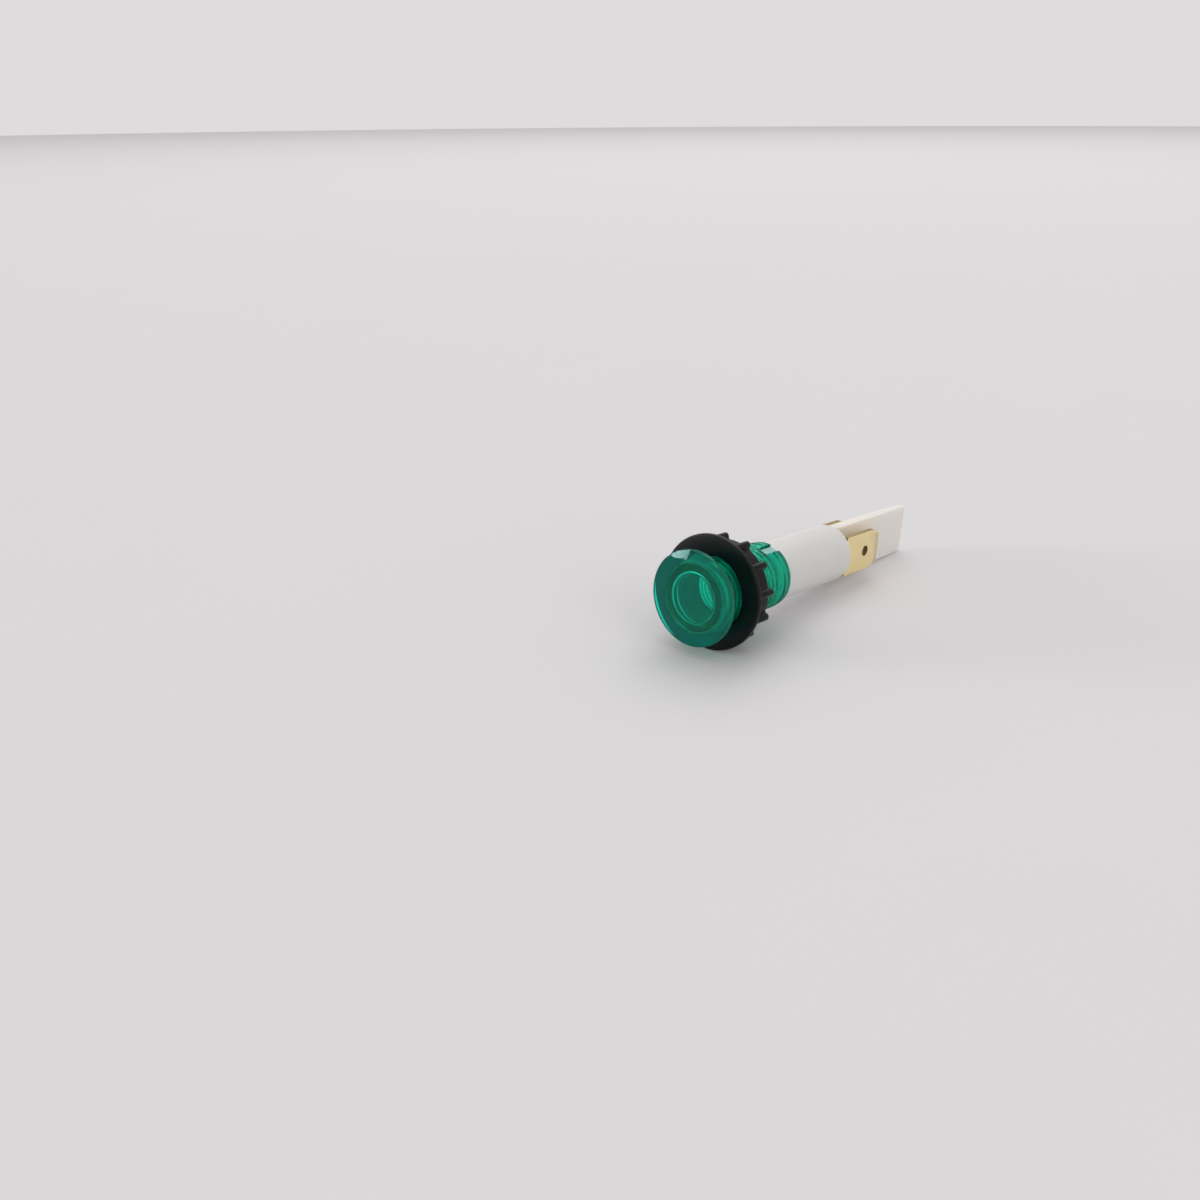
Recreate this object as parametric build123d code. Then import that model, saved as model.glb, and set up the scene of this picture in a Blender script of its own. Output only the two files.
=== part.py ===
from build123d import *
import math
import os

os.makedirs("parts", exist_ok=True)

# A pilot light for a round hole in a panel. All sizes are in millimetres.
# The light's axis is Y: the lens looks towards -Y, the blades point to +Y.
# The face of the lens that seats on the panel lies in the plane Y = 0.
# The rim's round and the glass dome are made of a few short cones each.
round_steps = 3

# Lens: a green cap and its threaded barrel, moulded as one piece
bezel_overhang = 1.9
bezel_thickness = 1.0
bezel_front_round = 0.35
bezel_back_chamfer = 0.15
lens_roof = 1.0
thread_radius = 4.95
barrel_length = 16.2
barrel_wall = 1.15
end_ring_step = 0.1
end_ring_length = 1.0
cavity_chamfer = 0.5
slot_width = 1.6
slot_length = 3.5
slot_corner_round = 0.3
slot_angle = 70.5
slot_count = 2
snap_bead_height = 0.12
snap_bead_half_length = 0.3
snap_bead_from_end = 1.6

# Washer and ribbed nut that clamp the panel
panel_gap = 3.3
washer_overhang = 0.5
washer_thickness = 0.85
washer_bore_clearance = 0.55
washer_chamfer = 0.2
washer_to_nut = 0.05
nut_length = 3.65
nut_wall = 1.9
nut_running_clearance = 0.05
nut_bore_chamfer = 0.3
nut_edge_chamfer = 0.3
rib_count = 12
rib_first_angle = 99.0
rib_height = 0.9
rib_width = 1.1
rib_end_bevel = 0.35

# Lamp holder: a white tube with a long insulating tongue
spigot_clearance = 0.05
spigot_length = 6.6
spigot_wall = 0.9
holder_shoulder = 0.65
holder_tube_length = 17.3
holder_end_wall = 4.0
holder_end_chamfer = 0.25
key_clearance = 0.1
key_below_thread = 0.45
bead_clearance = 0.05
tongue_length = 22.6
tongue_edge_inset = 0.4
tongue_root_thickness = 1.7
tongue_tip_thickness = 1.2
tongue_top_round = 0.6
tongue_bottom_round = 1.2

# Blade terminals of the common 6.3 by 0.8 size
blade_cover = 1.0
blade_thickness = 0.8
blade_width = 6.3
blade_free_length = 9.9
blade_corner_length = 2.1
blade_corner_depth = 1.0
blade_tip_bevel = 0.2
blade_hole_radius = 0.85
blade_hole_from_tip = 4.2
blade_tail_width = 2.4
blade_tail_reach = 2.5
blade_tail_clearance = 0.05
tail_hole_radius = 0.35
tail_hole_inset = 1.1

# Glow lamp
glass_clearance = 0.05
glass_wall = 0.4
glass_tip_radius = 0.45
glass_tip_height = 0.35
glass_length = 6.2
glass_shoulder = 1.4
glass_seal_radius = 1.6
pinch_width = 4.0
pinch_thickness = 1.6
pinch_length = 2.0
pinch_round = 0.3
wire_spacing = 2.2
electrode_radius = 0.45
electrode_front_gap = 1.5
electrode_length = 4.3
lamp_wire_radius = 0.2
seal_clearance = 0.01

# Series resistor, its wires and the joints
resistor_radius = 1.0
resistor_waist_radius = 0.85
resistor_length = 4.6
resistor_to_tail = 1.8
resistor_cap_length = 0.9
resistor_cap_slope = 0.4
resistor_end_chamfer = 0.3
resistor_wire_radius = 0.25
ferrule_radius = 0.55
ferrule_length = 1.8
ferrule_clearance = 0.02
ferrule_from_pinch = 0.4
resistor_from_ferrule = 0.4
wire_bend_reach = 0.5
wire_end_inset = 0.1
sleeve_radius = 0.5
sleeve_clearance = 0.02
sleeve_from_pinch = 0.4
sleeve_before_bend = 0.4
solder_radius = 0.7
solder_tip_radius = 0.35
solder_height = 0.65

# Places that follow from the sizes
bezel_radius = thread_radius + bezel_overhang
bezel_front = -bezel_thickness
cavity_front = bezel_front + lens_roof
barrel_bore_radius = thread_radius - barrel_wall
end_ring_radius = thread_radius - end_ring_step
nut_bore_radius = thread_radius + nut_running_clearance
nut_body_radius = nut_bore_radius + nut_wall
rib_tip_radius = nut_body_radius + rib_height
washer_radius = rib_tip_radius + washer_overhang
washer_bore_radius = thread_radius + washer_bore_clearance
spigot_radius = barrel_bore_radius - spigot_clearance
holder_bore_radius = spigot_radius - spigot_wall
spigot_front = barrel_length - spigot_length
holder_radius = spigot_radius + holder_shoulder
holder_back = barrel_length + holder_tube_length
key_radius = thread_radius - key_below_thread
tongue_end = holder_back + tongue_length
tongue_half_height = holder_radius - tongue_edge_inset
bead_place = barrel_length - snap_bead_from_end
washer_front = panel_gap
washer_back = washer_front + washer_thickness
nut_front = washer_back + washer_to_nut
nut_back = nut_front + nut_length
chamber_back = holder_back - holder_end_wall
blade_outside = holder_radius - blade_cover
blade_inside = blade_outside - blade_thickness
blade_offset = (blade_inside + blade_outside) / 2
blade_tip = holder_back + blade_free_length
blade_tail_front = chamber_back - blade_tail_reach
tail_hole_place = blade_tail_front + tail_hole_inset
resistor_back = tail_hole_place - resistor_to_tail
resistor_front = resistor_back - resistor_length
ferrule_back = resistor_front - resistor_from_ferrule
ferrule_front = ferrule_back - ferrule_length
ferrule_middle = (ferrule_front + ferrule_back) / 2
pinch_back = ferrule_front - ferrule_from_pinch
pinch_front = pinch_back - pinch_length
glass_back = pinch_front + glass_shoulder / 2
glass_straight_end = glass_back - glass_shoulder
glass_front = glass_straight_end - glass_length
glass_radius = holder_bore_radius - glass_clearance
glass_dome_centre = glass_front + glass_radius
electrode_front = glass_front + electrode_front_gap
electrode_back = electrode_front + electrode_length
wire_offset = wire_spacing / 2
wire_end = blade_outside - wire_end_inset
sleeve_front = pinch_back + sleeve_from_pinch
sleeve_back = tail_hole_place - wire_bend_reach - sleeve_before_bend


def turned(points):
    """A solid turned about the Y axis from (radius, place) corners."""
    return revolve(make_face(Polyline(*points, close=True)), Axis.Y)


def tube(outer, inner, front, back):
    """A plain tube along Y."""
    corners = [(inner, front), (outer, front), (outer, back), (inner, back)]
    return turned(corners)


def rod(radius, front, back, across=0.0):
    """A round rod along Y, set sideways by its X place."""
    corners = [(0, front), (radius, front), (radius, back), (0, back)]
    return Pos(across, 0, 0) * turned(corners)


def at_angle(angle):
    """Turns a piece drawn on +X round the Y axis, towards +Z."""
    return Rot(0, -angle, 0)


def front_round(inset, centre, radius, start=0.0):
    """Points of a round that turns from facing the front to facing outwards."""
    turn = math.pi / 2 - start
    angles = [start + turn * index / round_steps for index in range(round_steps + 1)]
    return [(inset + radius * math.sin(a), centre - radius * math.cos(a)) for a in angles]


def circles_at(solid, radius, place):
    """The round edges of one radius at one place along Y."""
    rings = solid.edges().filter_by(GeomType.CIRCLE)
    return rings.filter_by(
        lambda e: abs(e.radius - radius) < 1e-4 and abs(e.center().Y - place) < 1e-4
    )


def bent_wire(radius, across, start):
    """A wire that runs along Y and bends outwards into the blade's tail."""
    side = math.copysign(1.0, across)
    path = Polyline(
        (across, start, 0),
        (across, tail_hole_place - wire_bend_reach, 0),
        (across + side * wire_bend_reach, tail_hole_place, 0),
        (side * wire_end, tail_hole_place, 0),
    )
    section = Plane(origin=(across, start, 0), z_dir=(0, 1, 0)) * Circle(radius)
    return sweep(section, path=path, transition=Transition.RIGHT)


# The lens is turned, then slotted so that its end can spring open.
ring_front = barrel_length - end_ring_length
lens_barrel = turned(
    [
        (0, bezel_front),
        *front_round(
            bezel_radius - bezel_front_round, bezel_front + bezel_front_round, bezel_front_round
        ),
        (bezel_radius, 0),
        (thread_radius, 0),
        (thread_radius, ring_front - end_ring_step),
        (end_ring_radius, ring_front),
        (end_ring_radius, barrel_length),
        (barrel_bore_radius, barrel_length),
        (barrel_bore_radius, bead_place + snap_bead_half_length),
        (barrel_bore_radius - snap_bead_height, bead_place),
        (barrel_bore_radius, bead_place - snap_bead_half_length),
        (barrel_bore_radius, cavity_front),
        (0, cavity_front),
    ]
)
lens_barrel = chamfer(circles_at(lens_barrel, bezel_radius, 0), bezel_back_chamfer)
lens_barrel = chamfer(circles_at(lens_barrel, barrel_bore_radius, cavity_front), cavity_chamfer)

# Each slot has small rounds in the corners of its front end.
slot_front = barrel_length - slot_length
slot_depth = thread_radius + 1
slot_tool = Pos(slot_depth / 2, (slot_front + barrel_length + 1) / 2, 0) * Box(
    slot_depth, barrel_length + 1 - slot_front, slot_width
)
slot_corners = slot_tool.edges().filter_by(Axis.X).filter_by(
    lambda e: abs(e.center().Y - slot_front) < 1e-4
)
slot_tool = fillet(slot_corners, slot_corner_round)
for index in range(slot_count):
    lens_barrel -= at_angle(slot_angle + index * 360 / slot_count) * slot_tool

# The washer bears on the back of the panel.
panel_washer = tube(washer_radius, washer_bore_radius, washer_front, washer_back)
for place in (washer_front, washer_back):
    panel_washer = chamfer(circles_at(panel_washer, washer_radius, place), washer_chamfer)

# The nut is a turned ring with rounded finger ribs, bevelled at their rear ends.
clamp_nut = tube(nut_body_radius, nut_bore_radius, nut_front, nut_back)
clamp_nut = chamfer(circles_at(clamp_nut, nut_body_radius, nut_back), nut_edge_chamfer)
rib_centre = rib_tip_radius - rib_width / 2
rib_root = (nut_body_radius + nut_bore_radius) / 2
rib_tip = Pos(rib_centre, 0, 0) * Circle(rib_width / 2)
rib_web = Pos((rib_centre + rib_root) / 2, 0, 0) * Rectangle(rib_centre - rib_root, rib_width)
rib_section = Plane(origin=(0, nut_back, 0), x_dir=(1, 0, 0), z_dir=(0, -1, 0)) * (rib_tip + rib_web)
rib_envelope = turned(
    [
        (0, nut_front),
        (rib_tip_radius, nut_front),
        (rib_tip_radius, nut_back - rib_end_bevel),
        (rib_tip_radius - rib_end_bevel, nut_back),
        (0, nut_back),
    ]
)
rib = extrude(rib_section, nut_length) & rib_envelope
for index in range(rib_count):
    clamp_nut += at_angle(rib_first_angle + index * 360 / rib_count) * rib
for place in (nut_front, nut_back):
    clamp_nut = chamfer(circles_at(clamp_nut, nut_bore_radius, place), nut_bore_chamfer)

# The holder's tube: a spigot inside the barrel, then a shoulder on its end.
groove_depth = snap_bead_height + bead_clearance
groove_half_length = snap_bead_half_length + groove_depth
lamp_holder = turned(
    [
        (holder_bore_radius, spigot_front),
        (spigot_radius, spigot_front),
        (spigot_radius, bead_place - groove_half_length),
        (spigot_radius - groove_depth, bead_place),
        (spigot_radius, bead_place + groove_half_length),
        (spigot_radius, barrel_length),
        (holder_radius, barrel_length),
        (holder_radius, holder_back),
        (0, holder_back),
        (0, chamber_back),
        (holder_bore_radius, chamber_back),
    ]
)
lamp_holder = chamfer(circles_at(lamp_holder, holder_radius, holder_back), holder_end_chamfer)

# Keys on the spigot fill the slots and stop the holder from turning.
key_width = slot_width - 2 * key_clearance
key_front = slot_front + key_clearance
key_length = barrel_length - key_front
key_root = (holder_bore_radius + spigot_radius) / 2
for index in range(slot_count):
    key = Pos((key_root + key_radius) / 2, key_front + key_length / 2, 0) * Box(
        key_radius - key_root, key_length, key_width
    )
    key_corners = key.edges().filter_by(Axis.X).filter_by(
        lambda e: abs(e.center().Y - key_front) < 1e-4
    )
    key = fillet(key_corners, slot_corner_round)
    lamp_holder += at_angle(slot_angle + index * 360 / slot_count) * key

# The tongue thins towards its tip, as moulding draft needs.
tongue_outline = Polyline(
    (-tongue_root_thickness / 2, holder_back - holder_end_wall / 2),
    (tongue_root_thickness / 2, holder_back - holder_end_wall / 2),
    (tongue_root_thickness / 2, holder_back),
    (tongue_tip_thickness / 2, tongue_end),
    (-tongue_tip_thickness / 2, tongue_end),
    (-tongue_root_thickness / 2, holder_back),
    close=True,
)
tongue = extrude(make_face(tongue_outline), tongue_half_height, both=True)
tip_edges = tongue.edges().filter_by(Axis.X).filter_by(
    lambda e: abs(e.center().Y - tongue_end) < 1e-4
)
tongue = fillet(tip_edges.filter_by(lambda e: e.center().Z > 0), tongue_top_round)
tip_edges = tongue.edges().filter_by(Axis.X).filter_by(
    lambda e: abs(e.center().Y - tongue_end) < 1e-4
)
tongue = fillet(tip_edges.filter_by(lambda e: e.center().Z < 0), tongue_bottom_round)
lamp_holder += tongue

# Two slots pass through the end wall and open into the chamber for the tails.
tail_slot_front = blade_tail_front - blade_tail_clearance
tail_slot_length = holder_back + 1 - tail_slot_front
tail_slot = Box(
    blade_thickness + 2 * blade_tail_clearance,
    tail_slot_length,
    blade_tail_width + 2 * blade_tail_clearance,
)
for side in (-1, 1):
    lamp_holder -= Pos(side * blade_offset, tail_slot_front + tail_slot_length / 2, 0) * tail_slot

# Each blade is stamped from sheet: a narrow tail, shoulders and a wide tab.
half_tab = blade_width / 2
half_tail = blade_tail_width / 2
corner_start = blade_tip - blade_corner_length
corner_half = half_tab - blade_corner_depth
blade_outline = Polyline(
    (blade_tail_front, half_tail),
    (holder_back, half_tail),
    (holder_back, half_tab),
    (corner_start, half_tab),
    (blade_tip, corner_half),
    (blade_tip, -corner_half),
    (corner_start, -half_tab),
    (holder_back, -half_tab),
    (holder_back, -half_tail),
    (blade_tail_front, -half_tail),
    close=True,
)
blade_sheet = make_face(blade_outline)
blade_sheet -= Pos(blade_tip - blade_hole_from_tip, 0) * Circle(blade_hole_radius)
blade_sheet -= Pos(tail_hole_place, 0) * Circle(tail_hole_radius)
blade = extrude(Plane.YZ.offset(blade_inside) * blade_sheet, blade_thickness)
blade_tip_edges = blade.edges().filter_by(Axis.Z).filter_by(
    lambda e: abs(e.center().Y - blade_tip) < 1e-4
)
terminal_blade_right = chamfer(blade_tip_edges, blade_tip_bevel)
terminal_blade_left = mirror(terminal_blade_right, about=Plane.YZ)

# The lamp's glass is blown: a dome with a sealed tip, and a flat pinch behind.
dome_angle = math.asin(glass_tip_radius / glass_radius)
inner_radius = glass_radius - glass_wall
glass_outside = turned(
    [
        (0, glass_front - glass_tip_height),
        (glass_tip_radius / 2, glass_front - glass_tip_height),
        *front_round(0, glass_dome_centre, glass_radius, dome_angle),
        (glass_radius, glass_straight_end),
        (glass_seal_radius, glass_back),
        (0, glass_back),
    ]
)
glass_inside = turned(
    [
        *front_round(0, glass_dome_centre, inner_radius),
        (inner_radius, glass_straight_end),
        (0, glass_straight_end),
    ]
)
pinch = Pos(0, (pinch_front + pinch_back) / 2, 0) * Box(
    pinch_width, pinch_back - pinch_front, pinch_thickness
)
pinch = fillet(pinch.edges().filter_by(Axis.Y), pinch_round)
lamp_glass = glass_outside + pinch - glass_inside
for across in (-wire_offset, wire_offset):
    lamp_glass -= rod(lamp_wire_radius + seal_clearance, glass_straight_end - 1, pinch_back + 1, across)

# Two nickel rods glow inside the glass. Each stands on its own wire.
electrode_right = rod(electrode_radius, electrode_front, electrode_back, wire_offset)
electrode_right = chamfer(
    circles_at(electrode_right, electrode_radius, electrode_front), electrode_radius / 2
)
electrode_left = mirror(electrode_right, about=Plane.YZ)

# The right wire meets the resistor in a crimped ferrule. The left one is long.
lamp_wire_right = rod(lamp_wire_radius, electrode_back, ferrule_middle, wire_offset)
lamp_wire_left = bent_wire(lamp_wire_radius, -wire_offset, electrode_back)
crimp_bore = resistor_wire_radius + ferrule_clearance
crimp_ferrule = Pos(wire_offset, 0, 0) * tube(
    ferrule_radius, crimp_bore, ferrule_front, ferrule_back
)
insulating_sleeve = Pos(-wire_offset, 0, 0) * tube(
    sleeve_radius, lamp_wire_radius + sleeve_clearance, sleeve_front, sleeve_back
)

# The resistor has a cap bulge at each end and a waist between them.
resistor_body = turned(
    [
        (0, resistor_front),
        (resistor_radius, resistor_front),
        (resistor_radius, resistor_front + resistor_cap_length),
        (resistor_waist_radius, resistor_front + resistor_cap_length + resistor_cap_slope),
        (resistor_waist_radius, resistor_back - resistor_cap_length - resistor_cap_slope),
        (resistor_radius, resistor_back - resistor_cap_length),
        (resistor_radius, resistor_back),
        (0, resistor_back),
    ]
)
for place in (resistor_front, resistor_back):
    resistor_body = chamfer(circles_at(resistor_body, resistor_radius, place), resistor_end_chamfer)
resistor_body = Pos(wire_offset, 0, 0) * resistor_body
resistor_wire_front = rod(resistor_wire_radius, ferrule_middle, resistor_front, wire_offset)
resistor_wire_back = bent_wire(resistor_wire_radius, wire_offset, resistor_back)

# Solder climbs each wire in a cone on the inside of the tail.
cone = Rot(0, -90, 0) * Cone(solder_radius, solder_tip_radius, solder_height)
bead = Pos(blade_inside - solder_height / 2, tail_hole_place, 0) * cone
solder_right = bead - resistor_wire_back
solder_left = mirror(bead, about=Plane.YZ) - lamp_wire_left

nodes = {
    "lens_barrel": lens_barrel,
    "panel_washer": panel_washer,
    "clamp_nut": clamp_nut,
    "lamp_holder": lamp_holder,
    "terminal_blade_left": terminal_blade_left,
    "terminal_blade_right": terminal_blade_right,
    "lamp_glass": lamp_glass,
    "electrode_left": electrode_left,
    "electrode_right": electrode_right,
    "lamp_wire_left": lamp_wire_left,
    "lamp_wire_right": lamp_wire_right,
    "crimp_ferrule": crimp_ferrule,
    "insulating_sleeve": insulating_sleeve,
    "resistor_body": resistor_body,
    "resistor_wire_front": resistor_wire_front,
    "resistor_wire_back": resistor_wire_back,
    "solder_left": solder_left,
    "solder_right": solder_right,
}
for name, solid in nodes.items():
    export_step(solid, f"parts/{name}.step")
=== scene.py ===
# %% [markdown]
# # A panel pilot light, dressed for the camera
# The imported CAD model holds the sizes, the places and the motion. This lesson adds the looks.
# A green lens screws into a panel, a ribbed nut clamps it, and a white holder behind it
# carries a glow lamp, its resistor and two brass blades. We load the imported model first, because
# every piece that follows takes its size and place from it.

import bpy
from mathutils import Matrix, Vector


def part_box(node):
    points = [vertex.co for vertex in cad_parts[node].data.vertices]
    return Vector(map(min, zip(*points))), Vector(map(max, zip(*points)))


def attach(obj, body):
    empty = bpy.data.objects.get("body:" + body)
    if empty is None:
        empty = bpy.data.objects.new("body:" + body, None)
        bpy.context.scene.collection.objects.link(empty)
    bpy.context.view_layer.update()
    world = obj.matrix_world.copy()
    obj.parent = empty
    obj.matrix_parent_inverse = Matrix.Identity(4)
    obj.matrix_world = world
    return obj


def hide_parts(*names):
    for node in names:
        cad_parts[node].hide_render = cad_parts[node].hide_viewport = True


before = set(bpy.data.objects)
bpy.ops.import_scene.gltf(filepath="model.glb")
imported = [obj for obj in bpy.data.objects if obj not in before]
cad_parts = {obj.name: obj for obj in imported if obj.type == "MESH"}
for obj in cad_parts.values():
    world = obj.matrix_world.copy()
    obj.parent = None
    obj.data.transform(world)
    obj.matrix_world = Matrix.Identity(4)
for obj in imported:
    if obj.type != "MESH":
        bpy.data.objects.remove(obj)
print("nodes:", sorted(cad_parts))

# %% Tools of Blender
import math

import bmesh
import bpy
from mathutils import Matrix, Vector

MM = 0.001
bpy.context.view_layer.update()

# %% [markdown]
# ## Sizes
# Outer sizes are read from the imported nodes, so they can't drift away from the CAD. What lies
# inside a node, such as a bore or a round, can't be read from its box and is written here.

# %% Sizes read from the frame
lens_low, lens_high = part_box("lens_barrel")
washer_low, washer_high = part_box("panel_washer")
nut_low, nut_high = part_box("clamp_nut")
holder_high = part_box("lamp_holder")[1]
blade_low, blade_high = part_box("terminal_blade_right")
glass_low, glass_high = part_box("lamp_glass")

bezel_radius = lens_high.x
bezel_front = lens_low.y
barrel_end = lens_high.y
washer_radius = washer_high.x
tongue_end = holder_high.y
print("lens radius", bezel_radius, "barrel end", barrel_end, "tongue end", tongue_end)

# %% Sizes of what the boxes don't show
thread_radius = 4.95 * MM
thread_pitch = 1.0 * MM
thread_depth = 0.15 * MM
barrel_bore = 3.8 * MM
ring_radius = 4.85 * MM
ring_length = 1.0 * MM
slot_width = 1.6 * MM
slot_length = 3.5 * MM
slot_corner = 0.3 * MM
slot_angle = math.radians(70.5)
bead_middle = barrel_end - 1.6 * MM
bead_half = 0.3 * MM
bead_height = 0.12 * MM
nut_bore = 5.0 * MM
nut_body = 6.9 * MM
rib_tip_radius = 7.8 * MM
rib_width = 1.1 * MM
rib_count = 12
rib_first = math.radians(99.0)
washer_bore = 5.5 * MM
spigot_front = 9.6 * MM
spigot_radius = 3.75 * MM
holder_bore = 2.85 * MM
holder_radius = 4.4 * MM
holder_back = 33.5 * MM
chamber_back = 29.5 * MM
groove_middle = 14.6 * MM
groove_half = 0.47 * MM
groove_depth = 0.17 * MM
key_radius = 4.5 * MM
key_half = 0.7 * MM
tongue_half_height = 4.0 * MM
tongue_half_thickness = 0.85 * MM
tongue_tip_share = 1.2 / 1.7
tongue_low_round = 1.2 * MM
tongue_high_round = 0.6 * MM
tail_half = 1.2 * MM
tail_clearance = 0.05 * MM
print("thread", thread_radius, "pitch", thread_pitch)

# %% [markdown]
# ## Helpers that make meshes
# Nearly everything here was moulded or turned round one axis. So one helper rounds the corners
# of an outline, as a mould's edges are, and another turns the outline round the light's axis.
# A modifier stack could do the same, but plain rings of points give even faces and let the
# thread follow its helix exactly.


# %% Round the corners of an outline
def rounded(corners, steps=5):
    """Points of an outline from (radius, place, round) corners, each with its own round."""
    points = []
    for index, (radius, place, size) in enumerate(corners):
        here = Vector((radius, place))
        if size <= 0 or index in (0, len(corners) - 1):
            points.append(tuple(here))
            continue
        before = Vector(corners[index - 1][:2]) - here
        after = Vector(corners[index + 1][:2]) - here
        half = before.angle(after) / 2
        reach = min(size / math.tan(half), before.length * 0.49, after.length * 0.49)
        size = reach * math.tan(half)
        centre = here + (before.normalized() + after.normalized()).normalized() * (
            size / math.sin(half)
        )
        first = here + before.normalized() * reach - centre
        last = here + after.normalized() * reach - centre
        sweep = first.angle_signed(last)
        for step in range(steps + 1):
            spoke = first.copy()
            spoke.rotate(Matrix.Rotation(-sweep * step / steps, 2))
            points.append(tuple(centre + spoke))
    return points


def quarter_turn(steps):
    """Angles from nothing to a quarter turn, in even steps."""
    return [math.pi / 2 * step / steps for step in range(steps + 1)]


# %% Turn an outline round the light's axis
def finish_mesh(name, maker, sharp=35.0):
    """Makes the object from a bmesh, with normals outwards and smooth shading."""
    bmesh.ops.recalc_face_normals(maker, faces=maker.faces)
    mesh = bpy.data.meshes.new(name)
    maker.to_mesh(mesh)
    maker.free()
    mesh.shade_smooth()
    mesh.set_sharp_from_angle(angle=math.radians(sharp))
    piece = bpy.data.objects.new(name, mesh)
    bpy.context.scene.collection.objects.link(piece)
    return piece


def turned(name, outline, spokes=144, shape=None, sharp=35.0):
    """A closed solid turned round Y. shape may change a radius at its place and angle."""
    maker = bmesh.new()
    rings = []
    for radius, place in outline:
        if radius < 1e-7:
            rings.append([maker.verts.new((0, place, 0))])
            continue
        ring = []
        for spoke in range(spokes):
            angle = math.tau * spoke / spokes
            reach = shape(radius, place, angle) if shape else radius
            ring.append(maker.verts.new((reach * math.cos(angle), place, reach * math.sin(angle))))
        rings.append(ring)
    if outline[0][0] > 1e-7:
        rings.append(rings[0])
    for one, two in zip(rings, rings[1:]):
        if len(one) == len(two) == 1:
            continue
        for spoke in range(spokes):
            after = (spoke + 1) % spokes
            corners = [
                one[spoke % len(one)],
                one[after % len(one)],
                two[after % len(two)],
                two[spoke % len(two)],
            ]
            if len(one) == 1:
                corners.pop(0)
            if len(two) == 1:
                corners.pop(-1)
            maker.faces.new(corners)
    return finish_mesh(name, maker, sharp)


# %% Cut or join with a second solid
def combined(piece, tool, operation, sharp=35.0):
    """Cuts the tool from the piece, or joins it, and throws the tool away."""
    step = piece.modifiers.new("combine", "BOOLEAN")
    step.operation = operation
    step.solver = "EXACT"
    step.object = tool
    graph = bpy.context.evaluated_depsgraph_get()
    mesh = bpy.data.meshes.new_from_object(piece.evaluated_get(graph))
    piece.modifiers.clear()
    piece.data = mesh
    mesh.set_sharp_from_angle(angle=math.radians(sharp))
    bpy.data.objects.remove(tool)
    return piece


def slab(name, outline, low, high, place, bevel=0.0):
    """A plate: a flat outline, given thickness from low to high, set by a place function."""
    maker = bmesh.new()
    bottom = [maker.verts.new(place(across, along, low)) for across, along in outline]
    face = maker.faces.new(bottom)
    top = bmesh.ops.extrude_face_region(maker, geom=[face])["geom"]
    shift = Vector(place(0, 0, high)) - Vector(place(0, 0, low))
    raised = [part for part in top if isinstance(part, bmesh.types.BMVert)]
    bmesh.ops.translate(maker, vec=shift, verts=raised)
    if bevel > 0:
        edges = [edge for edge in maker.edges if edge.calc_face_angle(0) > math.radians(40)]
        bmesh.ops.bevel(
            maker, geom=edges, offset=bevel, segments=3, profile=0.5, affect="EDGES"
        )
    return finish_mesh(name, maker)


def report(piece):
    """Prints what was made, for the reader of the lesson."""
    size = " x ".join(f"{length / MM:.1f}" for length in piece.dimensions)
    print(f"{piece.name}: {len(piece.data.polygons)} faces, {size} mm")


# %% [markdown]
# ## Helpers that make finishes
# A finish is a tree of nodes, and trees are easier to read as sums. The Wire class wraps a
# socket, so that `0.4 + 0.1 * grain` adds its Math nodes by itself. The Recipe class adds every
# other node through one method, with its settings first and then its sockets.


# %% Sockets that can be added and multiplied
class Wire:
    """An output socket that takes part in sums."""

    def __init__(self, recipe, socket):
        self.recipe = recipe
        self.socket = socket

    def maths(self, operation, left, right=0.0):
        return self.recipe.node("Math", {"operation": operation}, {0: left, 1: right})

    def __add__(self, other):
        return self.maths("ADD", self, other)

    def __sub__(self, other):
        return self.maths("SUBTRACT", self, other)

    def __mul__(self, other):
        return self.maths("MULTIPLY", self, other)

    def __truediv__(self, other):
        return self.maths("DIVIDE", self, other)

    def __rsub__(self, other):
        return self.maths("SUBTRACT", other, self)

    __radd__ = __add__
    __rmul__ = __mul__

    def clamped(self):
        return self.recipe.node("Clamp", {}, {"Value": self})


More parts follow.
